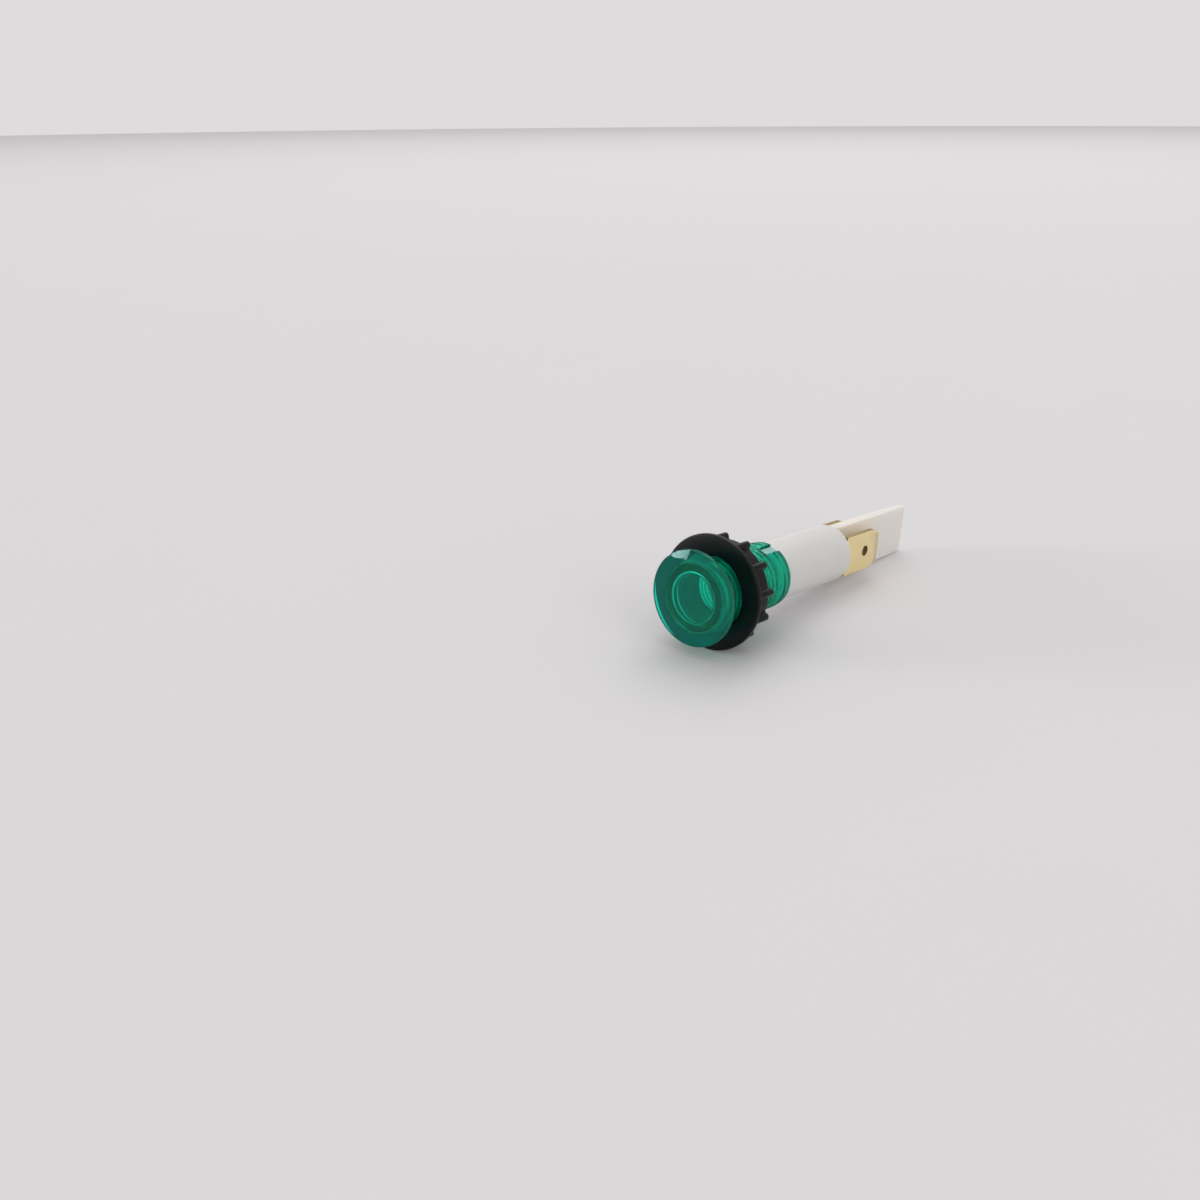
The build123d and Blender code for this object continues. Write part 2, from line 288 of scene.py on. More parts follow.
class Recipe:
    """The node tree of one finish."""

    def __init__(self, name):
        self.material = bpy.data.materials.new(name)
        self.material.use_nodes = True
        self.tree = self.material.node_tree
        self.tree.nodes.clear()

    def node(self, kind, settings, sockets, output=0):
        """Adds a node: its type, its settings, then the values or wires of its sockets."""
        made = self.tree.nodes.new("ShaderNode" + kind)
        for name, value in settings.items():
            if name == "stops":
                ramp = made.color_ramp
                while len(ramp.elements) < len(value):
                    ramp.elements.new(1.0)
                for element, (position, colour) in zip(ramp.elements, value):
                    element.position = position
                    element.color = colour
            elif name == "interpolation":
                made.color_ramp.interpolation = value
            else:
                setattr(made, name, value)
        for name, value in sockets.items():
            if isinstance(value, Wire):
                self.tree.links.new(value.socket, made.inputs[name])
            else:
                made.inputs[name].default_value = value
        return Wire(self, made.outputs[output])

    def place(self):
        """The point on the surface, in metres, the same in every pose of the light."""
        return self.node("TexCoord", {}, {}, "Object")

    def noise(self, scale, detail=3.0, roughness=0.5, at=None):
        """Soft random grey, with its scale in bumps a metre."""
        sockets = {
            "Vector": at or self.place(),
            "Scale": scale,
            "Detail": detail,
            "Roughness": roughness,
        }
        return self.node("TexNoise", {}, sockets)

    def mix(self, share, first, second):
        """A colour between two colours."""
        return self.node("Mix", {"data_type": "RGBA"}, {0: share, 6: first, 7: second}, 2)

    def bump(self, height, distance, strength=1.0):
        """A normal that a height bends, without moving the surface."""
        sockets = {"Height": height, "Distance": distance, "Strength": strength}
        return self.node("Bump", {}, sockets)

    def surface(self, shader, volume=None):
        """Ends the tree and returns the material."""
        output = self.tree.nodes.new("ShaderNodeOutputMaterial")
        self.tree.links.new(shader.socket, output.inputs["Surface"])
        if volume:
            self.tree.links.new(volume.socket, output.inputs["Volume"])
        print("finish:", self.material.name, len(self.tree.nodes), "nodes")
        return self.material


# %% [markdown]
# ## Green lens plastic
# The lens is clear polycarbonate with dye all through it, so its colour comes from depth: a thin
# wall glows bright green and a long path turns nearly black. Painting the surface green would
# colour every wall alike. Instead the surface is clear and a Volume Absorption inside takes the
# red away fast and the green slowly. A small diffuse share stands for the milky glow of the
# dyed plastic. From outside, a part of the surface only bends the light and doesn't mirror it,
# so the pale floor's reflection doesn't wash the green out. From inside, it mirrors fully.
# Fine wear on the surface comes from the roughness.


# %% Finish of the lens
def green_lens_finish():
    recipe = Recipe("green_lens")
    wear = recipe.noise(260.0, 4.0, 0.7)
    flow = recipe.noise(60.0, 2.0)
    rough = 0.015 + 0.05 * (wear - 0.45).clamped()
    colour = recipe.mix(flow, (0.015, 0.90, 0.78, 1.0), (0.02, 0.94, 0.82, 1.0))
    glass = recipe.node(
        "BsdfPrincipled",
        {},
        {
            "Base Color": colour,
            "Roughness": rough,
            "IOR": 1.56,
            "Specular IOR Level": 0.05,
            "Specular Tint": (0.6, 1.0, 0.97, 1.0),
            "Transmission Weight": 0.91,
        },
    )
    clear = recipe.node(
        "BsdfRefraction", {}, {"Color": (0.13, 1.0, 0.93, 1.0), "Roughness": 0.015, "IOR": 1.56}
    )
    inside = recipe.node("NewGeometry", {}, {}, "Backfacing")
    shader = recipe.node("MixShader", {}, {0: 0.4 + 0.6 * inside, 1: clear, 2: glass})
    dye = recipe.node("VolumeAbsorption", {}, {"Color": (0.0, 0.94, 0.89, 1.0), "Density": 1900.0})
    return recipe.surface(shader, dye)


green_lens = green_lens_finish()


# %% [markdown]
# ## Black nylon of the nut and washer
# Both are moulded black nylon: nearly black, with a soft broad sheen and a very fine grain from
# the mould. A pure black would lose the form of the ribs, so the colour is a dark grey and the
# sheen does the rest.


# %% Finish of the black pieces
def black_plastic_finish():
    recipe = Recipe("black_plastic")
    grain = recipe.noise(4200.0, 3.0, 0.6)
    cloud = recipe.noise(220.0, 3.0)
    colour = recipe.mix(cloud, (0.003, 0.0035, 0.0035, 1.0), (0.006, 0.0065, 0.0065, 1.0))
    shader = recipe.node(
        "BsdfPrincipled",
        {},
        {
            "Base Color": colour,
            "Roughness": 0.26 + 0.12 * cloud,
            "IOR": 1.5,
            "Specular IOR Level": 0.13,
            "Normal": recipe.bump(grain, 0.012 * MM, 0.5),
        },
    )
    return recipe.surface(shader)


black_plastic = black_plastic_finish()


# %% [markdown]
# ## White nylon of the holder
# Natural nylon isn't painted white: light soaks in a millimetre or so and comes out blurred. A
# Subsurface share does that. Inside the barrel the green light that comes through the lens is
# painted into the colour, darker green on the keys in the slots than on the spigot. Close to the
# blades the yellow light that the brass throws back is painted in too, worked out from the
# distance to the blades. The tongue is painted lighter than the tube, for the light that falls on
# it.


# %% Finish of the holder
def white_nylon_finish():
    recipe = Recipe("white_nylon")
    place = recipe.place()
    cloud = recipe.noise(160.0, 3.0, 0.55, place)
    along = recipe.node("SeparateXYZ", {}, {"Vector": place}, "Y")
    # Painted light: the yellow light that the brass throws back is painted into the colour,
    # strongest near the blades.
    reach = (along - (blade_low.y + 6 * MM)) / (0.5 * (blade_high.y - blade_low.y))
    fade = (blade_high.y + 4 * MM - along) / (6 * MM)
    glow = reach.clamped() * fade.clamped()
    # Painted light: the tongue is painted lighter than the tube, for the light that falls on it.
    tongue = ((along - holder_back) / (2 * MM)).clamped()
    # Painted light: inside the barrel the green light through the lens is painted into the colour,
    # darker green on the keys than on the spigot.
    inside = ((barrel_end - along) / (0.1 * MM)).clamped()
    plain = recipe.mix(cloud, (0.63, 0.62, 0.60, 1.0), (0.67, 0.66, 0.64, 1.0))
    plain = recipe.mix(tongue, plain, (0.75, 0.72, 0.68, 1.0))
    flat = recipe.node("VectorMath", {"operation": "MULTIPLY"}, {0: place, 1: (1.0, 0.0, 1.0)})
    radius = recipe.node("VectorMath", {"operation": "LENGTH"}, {0: flat}, "Value")
    on_key = ((radius - spigot_radius - 0.1 * MM) / (0.1 * MM)).clamped()
    painted_barrel_light = recipe.mix(on_key, (0.50, 0.92, 0.85, 1.0), (0.27, 0.53, 0.49, 1.0))
    plain = recipe.mix(inside, plain, painted_barrel_light)
    colour = recipe.mix(0.4 * glow, plain, (0.84, 0.76, 0.58, 1.0))
    shader = recipe.node(
        "BsdfPrincipled",
        {"subsurface_method": "RANDOM_WALK"},
        {
            "Base Color": colour,
            "Roughness": 0.42 + 0.1 * cloud,
            "IOR": 1.53,
            "Subsurface Weight": 1.0,
            "Subsurface Radius": (1.0, 0.95, 0.9),
            "Subsurface Scale": 0.9 * MM,
            "Normal": recipe.bump(recipe.noise(700.0, 3.0, 0.5, place), 0.01 * MM, 0.4),
        },
    )
    return recipe.surface(shader)


white_nylon = white_nylon_finish()


# %% [markdown]
# ## Brass of the blades
# The blades are stamped from rolled strip. Rolling leaves fine lines along the strip, which
# stretch the reflections, and the press shears the edges, so those are rougher. Their dark
# colour is partly painted shade, for the thin edges that lie in shadow.


# %% Finish of the brass
def brass_finish(name, tone, roughness):
    recipe = Recipe(name)
    place = recipe.place()
    stretch = {0: place, 1: (1.0, 0.06, 1.0)}
    stretched = recipe.node("VectorMath", {"operation": "MULTIPLY"}, stretch)
    lines = recipe.noise(9000.0, 4.0, 0.6, stretched)
    stain = recipe.noise(300.0, 4.0, 0.6, place)
    dull = tuple(part * 0.88 for part in tone) + (1.0,)
    colour = recipe.mix((stain * 1.6 - 0.4).clamped(), tone + (1.0,), dull)
    shader = recipe.node(
        "BsdfPrincipled",
        {},
        {
            "Base Color": colour,
            "Metallic": 1.0,
            "Roughness": roughness + 0.12 * lines,
            "Normal": recipe.bump(lines, 0.006 * MM, 0.5),
        },
    )
    return recipe.surface(shader)


brass = brass_finish("brass", (0.97, 0.82, 0.43), 0.24)
# The sheared edges are rougher, and their dark tone is partly painted shade for edges in shadow.
sheared_brass_painted_shade = brass_finish("sheared_brass_painted_shade", (0.30, 0.23, 0.11), 0.45)


# %% [markdown]
# ## Finishes of what sits inside
# The lamp, its wires and the resistor are only glimpsed through the lens, but the light can be
# opened in other uses of the model, so each has its own finish: clear glass, grey nickel rods,
# tinned wire, woven sleeving, lacquer with plain colour bands and bright solder.


# %% Glass and metal inside
def clear_glass_finish():
    recipe = Recipe("clear_glass")
    shader = recipe.node(
        "BsdfPrincipled",
        {},
        {
            "Base Color": (0.96, 0.98, 0.98, 1.0),
            "Roughness": 0.01 + 0.03 * recipe.noise(300.0),
            "IOR": 1.47,
            "Transmission Weight": 1.0,
        },
    )
    return recipe.surface(shader)


def metal_finish(name, tone, roughness, scale):
    recipe = Recipe(name)
    grain = recipe.noise(scale, 4.0, 0.6)
    dull = tuple(part * 0.7 for part in tone) + (1.0,)
    shader = recipe.node(
        "BsdfPrincipled",
        {},
        {
            "Base Color": recipe.mix(grain, dull, tone + (1.0,)),
            "Metallic": 1.0,
            "Roughness": roughness + 0.15 * grain,
            "Normal": recipe.bump(grain, 0.01 * MM, 0.4),
        },
    )
    return recipe.surface(shader)


clear_glass = clear_glass_finish()
nickel = metal_finish("nickel", (0.50, 0.47, 0.43), 0.3, 2500.0)
tinned_wire = metal_finish("tinned_wire", (0.70, 0.70, 0.68), 0.22, 1800.0)
solder = metal_finish("solder", (0.62, 0.62, 0.60), 0.18, 1200.0)


# %% Sleeving and lacquer inside
def sleeving_finish():
    recipe = Recipe("sleeving")
    weave = recipe.node(
        "TexWave",
        {"wave_type": "BANDS", "bands_direction": "DIAGONAL"},
        {"Vector": recipe.place(), "Scale": 900.0, "Distortion": 1.5, "Detail": 2.0},
        "Fac",
    )
    shader = recipe.node(
        "BsdfPrincipled",
        {},
        {
            "Base Color": recipe.mix(weave, (0.55, 0.50, 0.42, 1.0), (0.80, 0.77, 0.70, 1.0)),
            "Roughness": 0.8,
            "Normal": recipe.bump(weave, 0.03 * MM, 0.8),
        },
    )
    return recipe.surface(shader)


def resistor_finish():
    recipe = Recipe("resistor_lacquer")
    low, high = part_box("resistor_body")
    along = recipe.node("SeparateXYZ", {}, {"Vector": recipe.place()}, "Y")
    share = (along - low.y) / (high.y - low.y)
    beige = (0.62, 0.50, 0.33, 1.0)
    stops = [
        (0.0, beige),
        (0.16, (0.45, 0.02, 0.02, 1.0)),
        (0.24, beige),
        (0.36, (0.08, 0.03, 0.01, 1.0)),
        (0.44, beige),
        (0.56, (0.75, 0.45, 0.02, 1.0)),
        (0.64, beige),
        (0.84, (0.50, 0.36, 0.10, 1.0)),
        (0.92, beige),
    ]
    bands = recipe.node("ValToRGB", {"stops": stops, "interpolation": "CONSTANT"}, {"Fac": share})
    grain = recipe.noise(800.0)
    shader = recipe.node(
        "BsdfPrincipled",
        {},
        {
            "Base Color": recipe.mix(0.15 * grain, bands, (0.2, 0.15, 0.1, 1.0)),
            "Roughness": 0.25 + 0.1 * grain,
            "Coat Weight": 0.5,
            "Normal": recipe.bump(grain, 0.02 * MM, 0.3),
        },
    )
    return recipe.surface(shader)


sleeving = sleeving_finish()
resistor_lacquer = resistor_finish()

# %% [markdown]
# ## Dress the CAD nodes that stay
# The small inner pieces already have their true form in the CAD, so they keep it and only take
# a finish. Their meshes and places aren't touched.


# %% Finishes for the inner nodes
inner_finishes = {
    "electrode_left": nickel,
    "electrode_right": nickel,
    "lamp_wire_left": tinned_wire,
    "lamp_wire_right": tinned_wire,
    "crimp_ferrule": tinned_wire,
    "insulating_sleeve": sleeving,
    "resistor_body": resistor_lacquer,
    "resistor_wire_front": tinned_wire,
    "resistor_wire_back": tinned_wire,
    "solder_left": solder,
    "solder_right": solder,
}


def dress(thing, *materials):
    """Gives an object its materials, in the order of its faces' slots."""
    thing.data.materials.clear()
    for material in materials:
        thing.data.materials.append(material)


for name, material in inner_finishes.items():
    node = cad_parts[name]
    for place in node.material_slots:
        place.material = material
    print(name, "takes", material.name)


# %% [markdown]
# ## The lens and its threaded barrel
# The real piece is one moulding: a flat round cap with a polished edge, and a barrel with a
# right-hand thread of 1 mm pitch. The face falls back a little towards its rim, so that the low
# panel is mirrored there as a pale patch. The thread catches fine lines of light, also through
# the plastic, so it has to be real geometry and not a bump. The outline is turned with a ring of
# points every sixteenth of a pitch, and each ring's radius follows the helix.

# %% Outline of the lens
thread_start = 0.25 * MM
thread_stop = barrel_end - ring_length - 0.1 * MM
face_flat = 4.8 * MM
face_drop = 0.34 * MM
face_power = 1.4
rim_round = 0.1 * MM
edge_round = 0.12 * MM
undercut_radius = thread_radius - 0.12 * MM
lead_in_length = 0.5 * MM
lead_out_length = 0.4 * MM
rows_per_pitch = 16


def lens_outline():
    """The lens from the middle of its front face, along the outside, back to the bore's roof."""
    points = [(face_flat * step / 6, bezel_front) for step in range(7)]
    for step in range(1, 15):
        share = step / 15
        reach = face_flat + (bezel_radius - face_flat) * share
        points.append((reach, bezel_front + face_drop * share**face_power))
    rim = [
        points[-1] + (0,),
        (bezel_radius, bezel_front + face_drop, rim_round),
        (bezel_radius, 0, edge_round),
        (undercut_radius, 0, edge_round),
        (undercut_radius, thread_start, 0),
    ]
    points += rounded(rim)[1:]
    rows = round((thread_stop - thread_start) / thread_pitch * rows_per_pitch)
    for row in range(rows + 1):
        points.append((thread_radius, thread_start + (thread_stop - thread_start) * row / rows))
    rear = [
        (thread_radius, thread_stop, 0),
        (ring_radius, thread_stop + 0.1 * MM, 0.05 * MM),
        (ring_radius, barrel_end, edge_round),
        (barrel_bore, barrel_end, edge_round),
        (barrel_bore, bead_middle + bead_half, 0),
        (barrel_bore - bead_height, bead_middle, 0.1 * MM),
        (barrel_bore, bead_middle - bead_half, 0),
        (barrel_bore, 0, 0.45 * MM),
        (0, 0, 0),
    ]
    return points + rounded(rear)[1:]


# %% The thread's helix
def threaded(radius, place, angle):
    """Sinks the thread's root into the barrel, along a right-hand helix."""
    if abs(radius - thread_radius) > 1e-7:
        return radius
    phase = (place / thread_pitch + angle / math.tau) % 1.0
    sunk = (0.5 - 0.5 * math.cos(math.tau * phase)) ** 2
    lead_in = min(max((place - thread_start) / lead_in_length, 0.0), 1.0)
    lead_out = min(max((thread_stop - place) / lead_out_length, 0.0), 1.0)
    return radius - thread_depth * sunk * lead_in * lead_out


lens = turned("green_lens_and_barrel", lens_outline(), 160, threaded, 50.0)
report(lens)


# %% [markdown]
# Two slots in the barrel's end let the holder snap in. Each has small rounds in the corners of
# its front end. They are cut with a Boolean, because they cross the thread at a slant that
# no ring of points follows.


# %% Cut the slots
def on_wall(angle):
    """Places a plate's outline of (width, length), its height standing outwards at an angle."""

    def place(across, along, height):
        along_x = height * math.cos(angle) - across * math.sin(angle)
        along_z = height * math.sin(angle) + across * math.cos(angle)
        return (along_x, along, along_z)

    return place


def slot_tool(angle):
    """A bar with small rounds at its front end, through the barrel's wall at an angle."""
    half = slot_width / 2
    front = barrel_end - slot_length
    corners = [
        (half, barrel_end + 1 * MM, 0),
        (half, front, slot_corner),
        (-half, front, slot_corner),
        (-half, barrel_end + 1 * MM, 0),
    ]
    low, high = barrel_bore * 0.6, thread_radius + 1 * MM
    return slab("slot_tool", rounded(corners), low, high, on_wall(angle))


for turn in (slot_angle, slot_angle + math.pi):
    combined(lens, slot_tool(turn), "DIFFERENCE", 50.0)
dress(lens, green_lens)
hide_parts("lens_barrel")
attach(lens, "body")
report(lens)

# %% [markdown]
# ## Washer
# A plain black disc with softly rounded edges. It is turned, with the rounds in the outline.

# %% Make the washer
edge = 0.2 * MM
washer_outline = [
    ((washer_bore + washer_radius) / 2, washer_low.y, 0),
    (washer_radius, washer_low.y, edge),
    (washer_radius, washer_high.y, edge),
    (washer_bore, washer_high.y, 0.08 * MM),
    (washer_bore, washer_low.y, 0.08 * MM),
    ((washer_bore + washer_radius) / 2 - 0.1 * MM, washer_low.y, 0),
]
washer = turned("black_washer", rounded(washer_outline), 160)
dress(washer, black_plastic)
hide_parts("panel_washer")
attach(washer, "washer")
report(washer)


# %% [markdown]
# ## Ribbed nut
# The nut is a ring with twelve finger ribs. Their tips and rear ends are rounded like beads.
# The cross-section is drawn once, with every corner rounded, and then stacked in layers that
# shrink inwards at the rear, which rounds all the ends in one go.


# %% Cross-section of the nut
def nut_section():
    """The nut's outer outline with its ribs, as (x, z) points, and each point's way outwards."""
    points = []
    tip = rib_width / 2
    foot = 0.16 * MM
    for rib in range(rib_count):
        middle = rib_first + math.tau * rib / rib_count
        along = Vector((math.cos(middle), math.sin(middle)))
        across = Vector((-along.y, along.x))
        for side in (-1, 1):
            part = []
            base = math.sqrt(nut_body**2 - (tip + foot) ** 2)
            for turn in quarter_turn(4):
                spread = tip + foot * (1 - math.sin(turn))
                rise = base + foot * (1 - math.cos(turn))
                way = along * math.cos(turn) + across * side * math.sin(turn)
                part.append((along * rise + across * side * spread, way))
            for turn in quarter_turn(6):
                spread = tip * math.cos(turn)
                rise = rib_tip_radius - tip + tip * math.sin(turn)
                way = along * math.sin(turn) + across * side * math.cos(turn)
                part.append((along * rise + across * side * spread, way))
            points += part[:-1] if side < 0 else part[::-1]
        half_rib = math.asin((tip + foot) / nut_body)
        gap = math.tau / rib_count - 2 * half_rib
        for step in range(1, 6):
            turn = middle + half_rib + gap * step / 6
            way = Vector((math.cos(turn), math.sin(turn)))
            points.append((way * nut_body, way))
    return points


# %% Stack the nut's layers
def ribbed_nut():
    """The nut: its cross-section in layers, with the bore inside."""
    section = nut_section()
    maker = bmesh.new()
    end_round = 0.35 * MM
    front_round = 0.08 * MM
    layers = []
    for turn in reversed(quarter_turn(3)):
        place = nut_low.y + front_round * (1 - math.sin(turn))
        layers.append((place, front_round * (1 - math.cos(turn))))
    for turn in quarter_turn(6):
        place = nut_high.y - end_round * (1 - math.sin(turn))
        layers.append((place, end_round * (1 - math.cos(turn))))
    outer = []
    for place, inset in layers:
        ring = [point - way * inset for point, way in section]
        outer.append([maker.verts.new((point.x, place, point.y)) for point in ring])
    bore_edge = 0.3 * MM
    inner = []
    for place, widen in [
        (nut_high.y, bore_edge),
        (nut_high.y - bore_edge, 0),
        (nut_low.y + bore_edge, 0),
        (nut_low.y, bore_edge),
    ]:
        ring = []
        for point, way in section:
            unit = point.normalized() * (nut_bore + widen)
            ring.append(maker.verts.new((unit.x, place, unit.y)))
        inner.append(ring)
    rings = outer + inner + [outer[0]]
    count = len(section)
    for one, two in zip(rings, rings[1:]):
        for index in range(count):
            after = (index + 1) % count
            maker.faces.new([one[index], one[after], two[after], two[index]])
    return finish_mesh("ribbed_nut", maker, 40.0)


nut = ribbed_nut()
dress(nut, black_plastic)
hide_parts("clamp_nut")
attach(nut, "nut")
report(nut)

# %% [markdown]
# ## Lamp holder
# One moulding of white nylon: a spigot with two keys inside the barrel, a plain tube, and a
# long flat tongue that keeps the two blades apart. The tube is turned, and the tongue, the keys
# and the slots for the blades are joined or cut as solids, so the nylon is one closed skin and
# light can soak through it without seams.

# %% Turn the tube
tube_outline = [
    (3.3 * MM, spigot_front, 0),
    (spigot_radius, spigot_front, 0.2 * MM),
    (spigot_radius, groove_middle - groove_half, 0),
    (spigot_radius - groove_depth, groove_middle, 0.1 * MM),
    (spigot_radius, groove_middle + groove_half, 0),
    (spigot_radius, barrel_end, 0.05 * MM),
    (holder_radius, barrel_end, 0.12 * MM),
    (holder_radius, holder_back, 0.3 * MM),
    (0, holder_back, 0),
]
bore_outline = [
    (0, chamber_back, 0),
    (holder_bore, chamber_back, 0.2 * MM),
    (holder_bore, spigot_front, 0.1 * MM),
    (3.25 * MM, spigot_front, 0),
]


holder = turned("nylon_holder", rounded(tube_outline) + rounded(bore_outline), 128)
report(holder)


# %% Tongue
def upright(across, along, height):
    """Places a plate's outline of (height, length) in the tongue's plane."""
    return (height, along, across)


def tongue_outline():
    """The tongue's side view, with its two different tip corners."""
    corners = [
        (-tongue_half_height, holder_back - 2 * MM, 0),
        (-tongue_half_height, tongue_end, tongue_low_round),
        (tongue_half_height, tongue_end, tongue_high_round),
        (tongue_half_height, holder_back - 2 * MM, 0),
    ]
    return rounded(corners, 8)


tongue = slab(
    "tongue",
    tongue_outline(),
    -tongue_half_thickness,
    tongue_half_thickness,
    upright,
    0.12 * MM,
)
for vertex in tongue.data.vertices:
    share = max((vertex.co.y - holder_back) / (tongue_end - holder_back), 0.0)
    vertex.co.x *= 1 - share * (1 - tongue_tip_share)
combined(holder, tongue, "UNION")

# %% Keys and blade slots
key_front = barrel_end - slot_length + 0.1 * MM
key_corners = [
    (key_half, barrel_end + 0.1 * MM, 0),
    (key_half, key_front, slot_corner),
    (-key_half, key_front, slot_corner),
    (-key_half, barrel_end + 0.1 * MM, 0),
]
for turn in (slot_angle, slot_angle + math.pi):
    key = slab("key", rounded(key_corners, 3), 3.3 * MM, key_radius, on_wall(turn), 0.08 * MM)
    combined(holder, key, "UNION")

blade_outer = blade_high.x
blade_inner = blade_low.x
tail_slot_half = tail_half + tail_clearance
tail_corners = [
    (-tail_slot_half, blade_low.y - tail_clearance),
    (tail_slot_half, blade_low.y - tail_clearance),
    (tail_slot_half, holder_back + 1 * MM),
    (-tail_slot_half, holder_back + 1 * MM),
]
for side in (-1, 1):
    middle = side * (blade_outer + blade_inner) / 2
    half = (blade_outer - blade_inner) / 2 + tail_clearance
    slot = slab("tail_slot", tail_corners, middle - half, middle + half, upright)
    combined(holder, slot, "DIFFERENCE")
dress(holder, white_nylon)
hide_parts("lamp_holder")
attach(holder, "body")
report(holder)


# %% [markdown]
# ## Blade terminals
# Each blade is stamped from 0.8 mm strip. The press leaves the cut faces rough, and their dark
# colour is partly painted shade, so the broad faces and the sheared edges take two finishes.


# %% Outline of a blade
detent_radius = 0.85 * MM
detent_from_tip = 4.2 * MM
wire_hole_radius = 0.35 * MM
wire_hole_from_end = 1.1 * MM
end_bevel_length = 0.4 * MM
end_bevel_share = 0.45


def blade_outline():
    """The blade's side view as (height, length) corners."""
    half = 3.15 * MM
    corner = 1.0 * MM
    start = blade_high.y - 2.1 * MM
    corners = [
        (-tail_half, blade_low.y, 0),
        (tail_half, blade_low.y, 0.05 * MM),
        (tail_half, holder_back, 0),
        (half, holder_back, 0.1 * MM),
        (half, start, 0.15 * MM),
        (half - corner, blade_high.y, 0.12 * MM),
        (-half + corner, blade_high.y, 0.12 * MM),
        (-half, start, 0.15 * MM),
        (-half, holder_back, 0.1 * MM),
        (-tail_half, holder_back, 0),
        (-tail_half, blade_low.y, 0),
    ]
    return rounded(corners, 3)[:-1]


# %% Stamp the blades
def hole_tool(name, radius, along, side):
    """A round bar through a blade."""
    ring = [
        (radius * math.cos(math.tau * step / 32), along + radius * math.sin(math.tau * step / 32))
        for step in range(32)
    ]
    low, high = sorted((side * (blade_inner - 1 * MM), side * (blade_outer + 1 * MM)))
    return slab(name, ring, low, high, upright)


def stamped_blade(side, name):
    """A blade with its two holes and its thinned end, on one side of the tongue."""
    low, high = sorted((side * blade_inner, side * blade_outer))
    blade = slab(name, blade_outline(), low, high, upright, 0.06 * MM)
    detent = hole_tool("detent", detent_radius, blade_high.y - detent_from_tip, side)
    combined(blade, detent, "DIFFERENCE")
    wire_hole = hole_tool("wire_hole", wire_hole_radius, blade_low.y + wire_hole_from_end, side)
    combined(blade, wire_hole, "DIFFERENCE")
    centre = side * (blade_inner + blade_outer) / 2
    bevel_start = blade_high.y - end_bevel_length
    for vertex in blade.data.vertices:
        bevel = max(vertex.co.y - bevel_start, 0.0) / end_bevel_length
        vertex.co.x = centre + (vertex.co.x - centre) * (1 - bevel * end_bevel_share)
    dress(blade, brass, sheared_brass_painted_shade)
    for face in blade.data.polygons:
        face.material_index = 0 if abs(face.normal.x) > 0.8 else 1
    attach(blade, "body")
    report(blade)
    return blade


for side, name in ((-1, "terminal_blade_left"), (1, "terminal_blade_right")):
    blade = stamped_blade(side, name.replace("terminal_", "") + "_stamped")
    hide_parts(name)

# %% [markdown]
# ## The lamp's glass
# The bulb is a tube drawn out to a tip at the front and squeezed flat behind. Its outside is
# turned, the pinch is joined as a rounded bar, and the inside, turned as a second outline, is cut
# out.

# %% Blow the glass
glass_radius = glass_high.x
glass_wall = 0.4 * MM
shoulder = 16.4 * MM
glass_back = 17.8 * MM
pinch_front = 17.1 * MM
pinch_half_width = 2.0 * MM
pinch_half_height = 0.8 * MM
tip_height = 0.35 * MM
tip_radius = 0.45 * MM
dome_centre = glass_low.y + tip_height + glass_radius
tip_angle = math.asin(tip_radius / glass_radius)


def glass_outline():
    """The outside, from the sealed tip over the dome to the back."""
    points = [
        (0, glass_low.y),
        (0.12 * MM, glass_low.y + 0.02 * MM),
        (0.3 * MM, glass_low.y + 0.15 * MM),
    ]
    for step in range(13):
        turn = tip_angle + (math.pi / 2 - tip_angle) * step / 12
        points.append((glass_radius * math.sin(turn), dome_centre - glass_radius * math.cos(turn)))
    points += [(glass_radius, shoulder), (1.6 * MM, glass_back), (0, glass_back)]
    return points


def hollow_outline():
    """The inside, one wall's thickness in."""
    inner = glass_radius - glass_wall
    points = []
    for turn in quarter_turn(12):
        points.append((inner * math.sin(turn), dome_centre - inner * math.cos(turn)))
    points += [(inner, shoulder), (0, shoulder)]
    return points


bulb = turned("lamp_bulb", glass_outline(), 96)
pinch_corners = [
    (-pinch_half_width, pinch_front),
    (pinch_half_width, pinch_front),
    (pinch_half_width, glass_high.y),
    (-pinch_half_width, glass_high.y),
]


def lying(across, along, height):
    """Places a plate's outline of (width, length) flat."""
    return (across, along, height)


pinch = slab("pinch", pinch_corners, -pinch_half_height, pinch_half_height, lying, 0.25 * MM)
combined(bulb, pinch, "UNION")
combined(bulb, turned("hollow", hollow_outline(), 96), "DIFFERENCE")
dress(bulb, clear_glass)
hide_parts("lamp_glass")
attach(bulb, "body")
report(bulb)

# %% [markdown]
# ## Floor
# In the photograph the light lies on a pale sheet. It rests on the rim of the washer and on the
# rounded lower corner of the tongue, so the sheet is tilted a few degrees in the
# light's own frame. The tilt is worked out from those two places. The sheet has no shine, so
# that the low panel isn't mirrored in it when it is seen at a grazing angle.

# %% Lay the floor under the light
front_touch = Vector((washer_high.y - 0.1 * MM, -washer_radius))
corner_centre = Vector((tongue_end - tongue_low_round, -tongue_half_height + tongue_low_round))
between = corner_centre - front_touch
tilt = math.atan2(between.y, between.x) - math.asin(tongue_low_round / between.length)
floor_radius = 3.0


def pale_floor():
    maker = bmesh.new()
    bmesh.ops.create_circle(maker, cap_ends=True, segments=96, radius=floor_radius)
    floor = finish_mesh("pale_floor", maker)
    height = front_touch.y - front_touch.x * math.tan(tilt)
    floor.matrix_world = Matrix.Translation((0, 0, height)) @ Matrix.Rotation(tilt, 4, "X")
    return floor


floor = pale_floor()
print("floor tilted by", round(math.degrees(tilt), 2), "degrees")


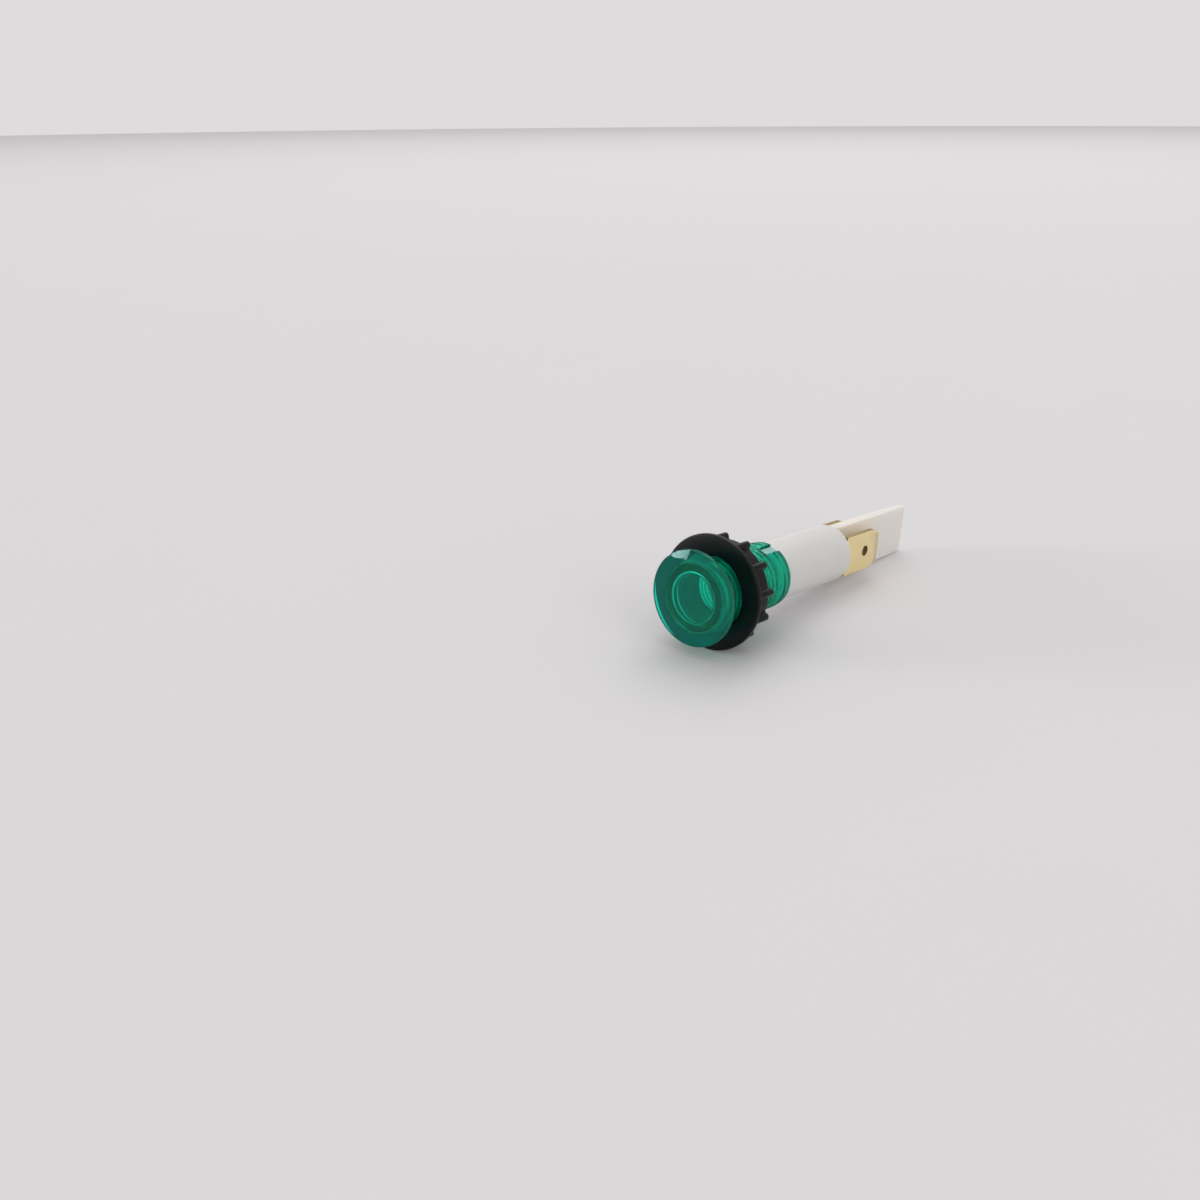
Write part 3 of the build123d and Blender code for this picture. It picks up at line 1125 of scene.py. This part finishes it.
# %% Finish of the floor
def floor_finish():
    recipe = Recipe("pale_sheet")
    cloud = recipe.noise(30.0, 3.0)
    shader = recipe.node(
        "BsdfPrincipled",
        {},
        {
            "Base Color": recipe.mix(cloud, (0.70, 0.685, 0.695, 1.0), (0.71, 0.695, 0.705, 1.0)),
            "Roughness": 0.7,
            "Specular IOR Level": 0.0,
        },
    )
    return recipe.surface(shader)


dress(floor, floor_finish())

# %% [markdown]
# ## Light
# A light tent gives even light from everywhere, which a plain white world does with no noise.
# One large panel above and behind adds the soft shadow. A low one stands 6 m away in front on
# the left, beyond the edge of the floor, and draws the pale patch on the polished lens. Its beam
# is narrow, so it doesn't flood the floor, and it isn't seen through the lens, where its sharp
# outline would show a second time. A third, on the right, lifts the sides of the tube and the
# tongue. What the camera sees of the world, directly or in metal and glass, is only a backdrop
# colour, so it adds no light.


# %% Panels of light
def panel_light(name, place, target, width, height, power):
    """A soft rectangular light at a place, turned towards a target."""
    lamp = bpy.data.lights.new(name, "AREA")
    lamp.shape = "RECTANGLE"
    lamp.size = width
    lamp.size_y = height
    lamp.energy = power
    panel = bpy.data.objects.new(name, lamp)
    bpy.context.scene.collection.objects.link(panel)
    panel.location = place
    way = Vector(target) - Vector(place)
    panel.rotation_euler = way.to_track_quat("-Z", "Y").to_euler()
    return panel


middle_of_light = (0, 0.02, 0)
panel_light("top_panel", (-0.8, 1.1, 2.1), middle_of_light, 2.0, 2.0, 20.0)
low_panel = panel_light("low_panel", (-4.6, -3.85, 0.28), middle_of_light, 2.4, 1.44, 12.0)
low_panel.data.spread = math.radians(40.0)
low_panel.visible_transmission = False
panel_light("right_panel", (1.8, -0.5, 0.8), middle_of_light, 1.2, 1.2, 7.0)

# %% The world around
world = bpy.data.worlds.new("studio")
world.use_nodes = True
bpy.context.scene.world = world
tree = world.node_tree
tree.nodes.clear()
rays = tree.nodes.new("ShaderNodeLightPath")


def background(colour, strength):
    node = tree.nodes.new("ShaderNodeBackground")
    node.inputs["Color"].default_value = colour
    node.inputs["Strength"].default_value = strength
    return node


seen = background((0.74, 0.71, 0.73, 1.0), 1.0)
glow = background((1.0, 0.985, 0.985, 1.0), 0.68)
either = tree.nodes.new("ShaderNodeMixShader")
end = tree.nodes.new("ShaderNodeOutputWorld")
seen_by = rays.outputs["Is Camera Ray"]
for kind in ("Is Glossy Ray", "Is Transmission Ray"):
    larger = tree.nodes.new("ShaderNodeMath")
    larger.operation = "MAXIMUM"
    tree.links.new(seen_by, larger.inputs[0])
    tree.links.new(rays.outputs[kind], larger.inputs[1])
    seen_by = larger.outputs[0]
tree.links.new(seen_by, either.inputs["Fac"])
tree.links.new(glow.outputs["Background"], either.inputs[1])
tree.links.new(seen.outputs["Background"], either.inputs[2])
tree.links.new(either.outputs["Shader"], end.inputs["Surface"])
print("world ready")

# %% [markdown]
# ## Camera
# The camera's place and turn were worked out from the outlines in the photograph: the lens
# rim, the washer, the end of the barrel and the corners of the blade. It looks down on the lens
# from the right, close enough for strong perspective.

# %% Place the camera
camera_place = Vector((91.7265, -122.7675, 53.1255)) * MM
camera_right = Vector((0.735003, 0.676225, 0.049897))
camera_up = Vector((-0.261240, 0.214503, 0.941139))
focal_pixels = 1181.11
frame_pixels = 1200

camera_data = bpy.data.cameras.new("camera")
camera_data.sensor_width = 36.0
camera_data.lens = focal_pixels / frame_pixels * camera_data.sensor_width
camera_data.clip_start = 0.005
camera_data.clip_end = 20.0
camera = bpy.data.objects.new("camera", camera_data)
bpy.context.scene.collection.objects.link(camera)
turn = Matrix((camera_right, camera_up, camera_right.cross(camera_up))).transposed()
camera.matrix_world = Matrix.Translation(camera_place) @ turn.to_4x4()
bpy.context.scene.camera = camera
bpy.context.scene.view_settings.view_transform = "Standard"
print("camera at", camera_place, "lens", round(camera_data.lens, 2), "mm")

# %% Update the scene, and a helper that turns a box into plain numbers
bpy.context.view_layer.update()


def plain(box):
    return [[float(number) for number in corner] for corner in box]
